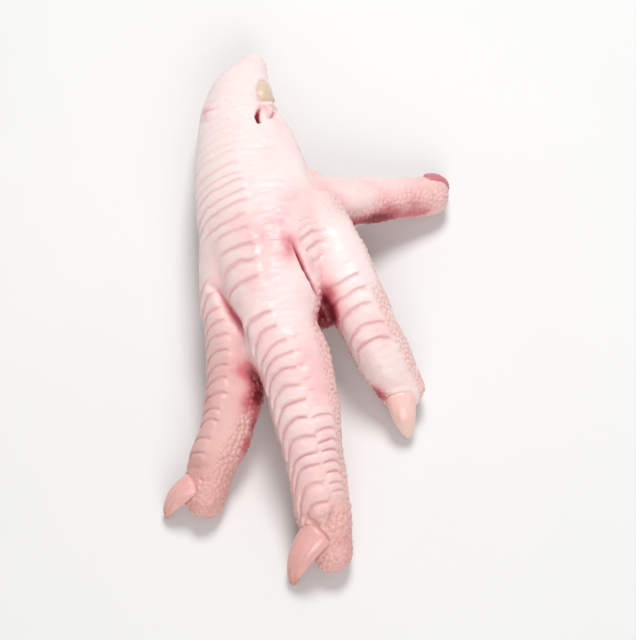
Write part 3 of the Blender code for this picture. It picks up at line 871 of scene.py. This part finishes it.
def granule_relief(spot, scutes):
    """The granules' height, their cover, how far their borders are and a random number for each."""
    cover, spacing = granule_cover(spot)
    cover *= 1 - np.clip(SCUTES_OVER * scutes, 0, 1)
    border, luck = granule_borders(spot.points, cover, spacing)
    dome = np.sqrt(np.clip(border / GRANULE_EDGE, 0, 1))
    level = dome - GRANULE_SINK + GRANULE_CHANCE * (luck - 0.5)
    return GRANULE_HEIGHT * cover * spacing * level, cover, border, luck


# ---- skin: pads, folds and creases


def pad_relief(spot):
    height = spot.zeros()
    for limb, at, reach, rise in PADS:
        sole = np.clip(SOLE_LEVEL - np.cos(np.radians(spot.angle[limb])), 0, 1)
        height += spot.share[limb] * rise * bell(spot.along[limb] - at, reach) * sole
    return height


def bump_relief(spot):
    height = spot.zeros()
    for x, y, reach, rise in BUMPS:
        height += rise * bell(np.hypot(spot.points[:, 0] - x, spot.points[:, 1] - y), reach)
    return height * spot.upward


def fine_folds(spot):
    """Shallow folds across the limbs, finer than the scutes."""
    height = spot.zeros()
    for name in LIMB_NAMES:
        folded = spot.zeros()
        for strength, spacing, run, seed in FINE_FOLDS:
            folded += [
                strength * noise.noise(Vector((along / spacing, angle / run, seed)))
                for along, angle in zip(spot.along[name], spot.angle[name])
            ]
        height += FINE_FOLD_HEIGHT * spot.share[name] * folded
    return height


def line_depth(corners, reach, points):
    """How deep a groove with these corners is at each point, as seen from above."""
    corners = np.array(corners)
    deepest = np.zeros(len(points))
    for start, end in zip(corners, corners[1:]):
        run = end[:2] - start[:2]
        along = np.clip(((points[:, :2] - start[:2]) @ run) / (run @ run), 0, 1)
        closest = start + along[:, None] * (end - start)
        away = np.linalg.norm(points[:, :2] - closest[:, :2], axis=1)
        deepest = np.maximum(deepest, closest[:, 2] * bell(away, reach))
    return deepest


def wrinkle_depth(spot):
    depths = [line_depth(corners, WRINKLE_REACH, spot.points) for corners in WRINKLES]
    return np.max(depths, axis=0) * spot.upward


def crease_depth(spot):
    """How deep each point lies in the creases, and how red it is there: red flesh and painted
    shade.
    """
    total, red = spot.zeros(), spot.zeros()
    for crease in CREASES:
        depth = line_depth(crease.corners, crease.reach, spot.points) * spot.upward
        total += depth
        red = np.maximum(red, crease.red * depth / RED_DEPTH)
    return total, red


def distances_outside(solid, points, reach):
    """How far points are outside a closed mesh object, up to reach. Inside is below zero."""
    bounds = np.array([corner[:] for corner in solid.bound_box]) / MM
    low, high = bounds.min(0) - reach, bounds.max(0) + reach
    near = np.flatnonzero(((points > low) & (points < high)).all(1))
    tree = BVHTree.FromObject(solid, bpy.context.evaluated_depsgraph_get())
    result = np.full(len(points), float(reach))
    for i in near:
        place = Vector(points[i]) * MM
        found, normal, _, distance = tree.find_nearest(place)
        sign = 1 if (place - found).dot(normal) > 0 else -1
        result[i] = min(sign * distance / MM, reach)
    return result


def lip_height(lip, away):
    return lip.height * bell(away - lip.away, lip.reach)


def lip_relief(spot, claws, knuckle):
    """Height of the skin's folds round claws and knuckle, and how red it is at the knuckle."""
    from_claws = [distances_outside(claw, spot.points, LIP_SEARCH) for claw in claws]
    from_knuckle = distances_outside(knuckle, spot.points, LIP_SEARCH)
    height = np.max([lip_height(CLAW_LIP, away) for away in from_claws], axis=0)
    height += lip_height(KNUCKLE_LIP, from_knuckle)
    return height, lip_height(KNUCKLE_RED, from_knuckle)


# ---- skin: colour and assembly


def along_limbs(table, spot):
    """How strong a colour is at each point, from a table of the stretches that get it."""
    strength = spot.zeros()
    for name, first, last, most in table:
        strength += spot.share[name] * smoothstep(spot.along[name], first, last) * most
    return strength


def blush_and_shade(spot):
    """How pink each point is: more towards the toes' tips, between them, and in patches, some
    painted shade.
    """
    pink = along_limbs(FLUSHED, spot)
    for place, reach, strength in BLUSHES_AND_SHADE:
        pink += strength * bell(np.linalg.norm(spot.points - place, axis=1), reach)
    pink += WEB_BLUSH * spot.web
    return np.clip(pink, 0, MOST_BLUSH)


def dressed_skin(claws, knuckle):
    """The skin with all its relief, and with what its material reads at each vertex."""
    skin = fused_limbs(SKIN_VOXEL)
    mesh = skin.data
    spot = SkinMap(points_of(mesh), normals_of(mesh))

    scute_height, scutes, joint = scute_relief(spot)
    granule_height, cover, border, luck = granule_relief(spot, scutes)
    lips, knuckle_red = lip_relief(spot, claws, knuckle)
    creases, crease_red = crease_depth(spot)
    wrinkles = wrinkle_depth(spot)
    height = scute_height + granule_height + lips
    height += pad_relief(spot) + bump_relief(spot) + fine_folds(spot)
    height += rippled(spot.points, SWELLS) - wrinkles - creases
    place_points(mesh, spot.points + spot.normals * height[:, None])

    for_material = {
        "joint": joint,
        "scutes": scutes,
        "cover": cover,
        "border": border,
        "luck": luck,
        "crease": np.maximum(crease_red, knuckle_red),
        "wrinkle": wrinkles,
        # pink of blood, and painted shade in red
        "blush_and_shade": blush_and_shade(spot),
        # painted shade: how much browner each point is
        "painted_shade": along_limbs(PAINTED_SHADE_STRETCHES, spot),
    }
    for name, values in for_material.items():
        store(mesh, name, values)
    thinned(skin, SKIN_TRIANGLES)
    skin.data.shade_smooth()
    return skin


# ---- claws and knuckle


def claw_piece(claw):
    """A horn cone that bows up between root and tip, with fine ridges along it."""
    root, tip = np.array(claw.root), np.array(claw.tip)
    straight = tip - root
    length = np.linalg.norm(straight)
    side = unit(np.cross(UP, straight))
    lift = unit(np.cross(straight, side))
    side, lift = rolled(side, lift, claw.roll)
    share = np.linspace(0, 1, round(length / CLAW_STEP))
    bowed = 4 * claw.bow * share * (1 - share)
    centre = root + np.outer(share, straight) + np.outer(bowed, lift)
    forward = unit(np.gradient(centre, axis=0))
    up = unit(np.cross(forward, side))
    taper = CLAW_TIP + (1 - CLAW_TIP) * (1 - share ** CLAW_TAPER[0]) ** CLAW_TAPER[1]
    full = (claw.width / 2, claw.height * CLAW_ABOVE, claw.height * (1 - CLAW_ABOVE))
    sides = np.broadcast_to(side, centre.shape)
    stations = (share, centre, forward, sides, up, np.outer(taper, full))
    piece = loft(claw.name + "_horn", rounded_ends(stations, CLAW_ENDS, CLAW_CAP_RINGS), CLAW_SIDES)

    mesh = piece.data
    points = points_of(mesh)
    along = ((points - root) @ straight) / length**2
    across = (points - root) @ side
    places = zip(along * length * STREAKS[0], across * STREAKS[1])
    streak = np.array([noise.noise(Vector((*place, claw.roll))) for place in places])
    place_points(mesh, points + normals_of(mesh) * (STREAK_HEIGHT * streak)[:, None])
    store(mesh, "along", along)
    store(mesh, "streak", streak)
    store(mesh, "blood", np.full(len(points), CLAW_BLOOD[claw.name]))
    mesh.shade_smooth()
    return piece


def knuckle_piece():
    """The cartilage that caps the bone at the hock: two round heads side by side."""
    shape = bmesh.new()
    bmesh.ops.create_uvsphere(shape, u_segments=KNUCKLE_SIDES, v_segments=KNUCKLE_RINGS, radius=0.5)
    size = Vector(KNUCKLE_SIZE)
    for vert in shape.verts:
        x, y, z = vert.co
        saddle = 1 - SADDLE_DEPTH * bell(x, SADDLE_REACH)
        vert.co = Vector((x * size.x, y * saddle * size.y, z * saddle * size.z))
    turn = Matrix.Rotation(np.radians(KNUCKLE_TURN), 3, "Z")
    turn @= Matrix.Rotation(np.radians(KNUCKLE_TILT), 3, "X")
    bmesh.ops.transform(shape, matrix=turn.to_4x4(), verts=shape.verts)
    bmesh.ops.translate(shape, vec=Vector(KNUCKLE_CENTRE), verts=shape.verts)
    bmesh.ops.scale(shape, vec=(MM, MM, MM), verts=shape.verts)
    piece = linked("knuckle_cartilage", shape)
    mesh = piece.data
    points = points_of(mesh)
    place_points(mesh, points + normals_of(mesh) * rippled(points, KNUCKLE_SWELLS)[:, None])
    mesh.shade_smooth()
    return piece


# ---- materials


class Nodes:
    """Shorthand for building one material's node tree."""

    def __init__(self, name):
        self.material = bpy.data.materials.new(name)
        self.material.use_nodes = True
        self.tree = self.material.node_tree
        self.surface = self.tree.nodes["Principled BSDF"]
        self.place = self.add("ShaderNodeTexCoord").outputs["Object"]

    def add(self, kind, **settings):
        node = self.tree.nodes.new(kind)
        for name, value in settings.items():
            setattr(node, name, value)
        return node

    def fed(self, node, values):
        """A node's outputs, once its inputs have been given links or constants."""
        for name, value in values.items():
            if isinstance(value, bpy.types.NodeSocket):
                self.tree.links.new(value, node.inputs[name])
            else:
                node.inputs[name].default_value = value
        return node.outputs

    def vertex(self, name):
        return self.add("ShaderNodeAttribute", attribute_name=name).outputs["Fac"]

    def math(self, operation, *values):
        node = self.add("ShaderNodeMath", operation=operation)
        return self.fed(node, dict(enumerate(values)))[0]

    def ramp(self, value, low, high, start=0.0, end=1.0):
        """Start below low, end above high and a smooth change between them."""
        node = self.add("ShaderNodeMapRange", interpolation_type="SMOOTHSTEP")
        return self.fed(node, dict(enumerate((value, low, high, start, end))))[0]

    def mix(self, share, base, over):
        """Two colours mixed. A Mix node has sockets of each type, and these are its colour ones."""
        node = self.add("ShaderNodeMix", data_type="RGBA", clamp_factor=True)
        return self.fed(node, {0: share, 6: base, 7: over})[2]

    def noise(self, size, detail=3.0):
        """Noise of about 0 to 1 with features of this size in millimetres."""
        node = self.add("ShaderNodeTexNoise")
        given = {"Scale": 1 / (size * MM), "Detail": detail, "Roughness": NOISE_ROUGHNESS}
        return self.fed(node, {"Vector": self.place, **given})["Fac"]

    def cracks(self, size):
        """Distance from the borders of cells of this size in millimetres."""
        node = self.add("ShaderNodeTexVoronoi", feature="DISTANCE_TO_EDGE")
        return self.fed(node, {"Vector": self.place, "Scale": 1 / (size * MM)})["Distance"]

    def bump(self, height, depth, under=None):
        """A bump of this depth in millimetres for a height of 0 to 1."""
        given = {"Strength": 1.0, "Distance": depth * MM, "Height": height}
        if under:
            given["Normal"] = under
        return self.fed(self.add("ShaderNodeBump"), given)["Normal"]

    def finished(self, finish, tone, grain, normal):
        """The material with its colour, a finish whose roughness follows a grain, and its bumps."""
        given = {
            "Base Color": tone,
            "Roughness": self.ramp(grain, *GRAIN, finish.smooth, finish.rough),
            "Normal": normal,
            "Coat Weight": finish.coat,
            "Coat Roughness": finish.coat_rough,
            "Subsurface Weight": finish.flesh,
            "Subsurface Scale": finish.depth * MM,
            "Subsurface Radius": finish.tint,
        }
        self.fed(self.surface, given)
        return self.material


def skin_lines(nodes):
    """How strong thin lines and wider shade are in joints, between granules and in wrinkles."""
    cover, border = nodes.vertex("cover"), nodes.vertex("border")
    scutes, joint = nodes.vertex("scutes"), nodes.vertex("joint")
    marked = nodes.ramp(scutes, 0.1, 0.8)
    joint_line = nodes.math("MULTIPLY", nodes.ramp(joint, 0.03, 0.15, 1, 0), marked)
    joint_shade = nodes.math("MULTIPLY", nodes.ramp(joint, 0.05, 0.34, 0.55, 0), scutes)
    gap_line = nodes.math("MULTIPLY", nodes.ramp(border, 0, 0.24, 0.3, 0), cover)
    gap_shade = nodes.math("MULTIPLY", nodes.ramp(border, 0, 0.5, 0.4, 0), cover)
    wrinkle_line = nodes.ramp(nodes.vertex("wrinkle"), 0.05, 0.45)
    lines = nodes.math("MAXIMUM", nodes.math("MAXIMUM", joint_line, gap_line), wrinkle_line)
    return lines, nodes.math("MAXIMUM", joint_shade, gap_shade)


def skin_tone(nodes, lines, shade):
    """Pale skin, pink in places, creamy granules, raw flesh in creases, and painted shade in brown,
    red and pink.
    """
    mottle = nodes.noise(9.0, detail=4.0)
    # blood and painted shade from the patches, with a mottle
    pink = nodes.math("MULTIPLY", nodes.vertex("blush_and_shade"), nodes.ramp(mottle, 0.25, 0.7, 0.75, 1.25))
    pink = nodes.math("ADD", pink, nodes.ramp(mottle, 0.5, 0.8, 0, 0.25))
    creamy = nodes.ramp(nodes.vertex("luck"), 0.2, 1.0, 0.25, 0.75)
    creamy = nodes.math("MULTIPLY", nodes.vertex("cover"), creamy)
    tone = nodes.mix(nodes.ramp(pink, 0, 0.9), PALE_SKIN, PINK_SKIN_AND_SHADE)
    tone = nodes.mix(creamy, tone, CREAM)
    # painted shade: browner on some stretches of the toes
    tone = nodes.mix(nodes.vertex("painted_shade"), tone, PAINTED_SHADE_BROWN)
    # painted shade in pink, in the joints of scutes and between granules
    tone = nodes.mix(shade, tone, PINK_SKIN_AND_SHADE)
    tone = nodes.mix(nodes.math("MULTIPLY", lines, 0.32), tone, GROOVE)
    tone = nodes.mix(nodes.ramp(nodes.noise(1.6), 0.55, 0.75, 0, 0.18), tone, PINK_SKIN_AND_SHADE)
    # the strongest patches, of blood and of painted shade, turn red and then raw
    tone = nodes.mix(nodes.ramp(pink, 0.65, 1.3, 0, 0.75), tone, BLOOD_AND_SHADE)
    tone = nodes.mix(nodes.ramp(pink, 1.2, 2.0, 0, 0.9), tone, RAW_FLESH_AND_SHADE)
    # red flesh in creases, darker where they are deeper: partly painted shade
    tone = nodes.mix(nodes.ramp(nodes.vertex("crease"), 0.2, 0.7, 0, 0.9), tone, BLOOD_AND_SHADE)
    return nodes.mix(nodes.ramp(nodes.vertex("crease"), 0.55, 0.95), tone, RAW_FLESH_AND_SHADE)


def skin_material():
    """Moist raw skin, crackled finely between its lines."""
    nodes = Nodes("skin")
    lines, shade = skin_lines(nodes)
    fine = nodes.bump(nodes.noise(0.55), 0.035)
    crackle = nodes.bump(nodes.ramp(nodes.cracks(0.6), 0, 0.12), 0.02, fine)
    gaps = nodes.bump(nodes.math("SUBTRACT", 1.0, lines), 0.12, crackle)
    return nodes.finished(SKIN_FINISH, skin_tone(nodes, lines, shade), nodes.noise(3.0), gaps)


def claw_material():
    """Satin horn: pink at the root, browner at the tip, and paler where a claw has no blood."""
    nodes = Nodes("claw")
    cloud = nodes.math("MULTIPLY_ADD", nodes.noise(2.5), 0.3, -0.15)
    place = nodes.math("ADD", nodes.vertex("along"), cloud)
    streak = nodes.math("MULTIPLY_ADD", nodes.vertex("streak"), 0.5, 0.5)
    blood = nodes.vertex("blood")
    tone = nodes.mix(nodes.ramp(place, 0.1, 0.75), HORN_ROOT, HORN_MIDDLE)
    tone = nodes.mix(nodes.ramp(place, 0.65, 1.0), tone, HORN_TIP)
    tone = nodes.mix(nodes.ramp(streak, 0.35, 0.9, 0, 0.22), tone, HORN_STREAK)
    pale = nodes.mix(nodes.ramp(place, 0.3, 0.85), PALE_HORN_ROOT, PALE_HORN_TIP)
    tone = nodes.mix(nodes.ramp(blood, 0.5, 0, 0, 0.85), tone, pale)
    tone = nodes.mix(nodes.ramp(blood, 0.5, 1.0, 0, 0.78), tone, HORN_BLOOD)
    ridges = nodes.bump(nodes.noise(0.4, detail=2.0), 0.02, nodes.bump(streak, 0.05))
    return nodes.finished(HORN_FINISH, tone, nodes.noise(1.5, detail=2.0), ridges)


def cartilage_material():
    """Wet cream cartilage with a little pink in it."""
    nodes = Nodes("cartilage")
    cloud = nodes.noise(3.0)
    tone = nodes.mix(nodes.ramp(cloud, 0.3, 0.7), CARTILAGE, DARK_CARTILAGE)
    pink = nodes.ramp(nodes.noise(1.0, detail=2.0), 0.6, 0.8, 0, 0.4)
    dimples = nodes.bump(nodes.noise(0.8), 0.04)
    return nodes.finished(CARTILAGE_FINISH, nodes.mix(pink, tone, PINK_CARTILAGE), cloud, dimples)


def floor_material():
    nodes = Nodes("floor")
    tone = nodes.mix(nodes.noise(60.0, detail=2.0), FLOOR, LIGHT_FLOOR)
    nodes.fed(nodes.surface, {"Base Color": tone, "Roughness": FLOOR_ROUGHNESS})
    return nodes.material


# ---- camera, lights and floor


def aimed(name, data, place, target):
    """A camera or a light at a place, turned towards a target."""
    obj = bpy.data.objects.new(name, data)
    obj.location = Vector(place) * MM
    obj.rotation_euler = (Vector(place) - Vector(target)).to_track_quat("Z", "Y").to_euler()
    bpy.context.scene.collection.objects.link(obj)
    return obj


def place_camera():
    lens = bpy.data.cameras.new("camera")
    lens.sensor_width = SENSOR_WIDTH
    lens.lens = PHOTO_LENS * CLOSER
    lens.clip_start = CLIP_START * MM
    bpy.context.scene.camera = aimed("camera", lens, VIEW_PLACE, VIEW_TARGET)


def hang_light(light):
    disk = bpy.data.lights.new(light.name, "AREA")
    disk.shape = "DISK"
    disk.size = light.size * MM
    disk.energy = light.power
    disk.color = light.tint
    aimed(light.name, disk, light.place, LIGHT_TARGET)


def light_sky():
    world = bpy.data.worlds.new("studio")
    world.use_nodes = True
    sky = world.node_tree.nodes["Background"]
    sky.inputs["Color"].default_value = (1.0, 1.0, 1.0, 1.0)
    sky.inputs["Strength"].default_value = SKY_STRENGTH
    bpy.context.scene.world = world
    bpy.context.scene.view_settings.view_transform = "Standard"


def lay_floor():
    shape = bmesh.new()
    bmesh.ops.create_grid(shape, x_segments=1, y_segments=1, size=FLOOR_REACH * MM)
    floor = linked("floor", shape)
    floor.data.materials.append(floor_material())


# ---- assembly


def dress(piece, node, material):
    """Lets a finer piece stand for a solid."""
    piece.data.materials.clear()
    piece.data.materials.append(material)
    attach(piece, "root")
    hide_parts(node)


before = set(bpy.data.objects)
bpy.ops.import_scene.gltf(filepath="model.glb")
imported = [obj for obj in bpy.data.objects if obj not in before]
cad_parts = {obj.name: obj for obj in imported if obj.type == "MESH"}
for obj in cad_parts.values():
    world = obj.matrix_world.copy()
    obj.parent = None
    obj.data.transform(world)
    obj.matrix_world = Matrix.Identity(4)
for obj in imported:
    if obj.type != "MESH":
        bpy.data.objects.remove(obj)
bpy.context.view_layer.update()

place_camera()
for lamp in LIGHTS:
    hang_light(lamp)
light_sky()
lay_floor()

claw_pieces = [claw_piece(claw) for claw in CLAWS]
cartilage = knuckle_piece()
skin_piece = dressed_skin(claw_pieces, cartilage)

horn = claw_material()
for claw, piece in zip(CLAWS, claw_pieces):
    dress(piece, claw.name, horn)
dress(cartilage, "knuckle", cartilage_material())
dress(skin_piece, "foot", skin_material())
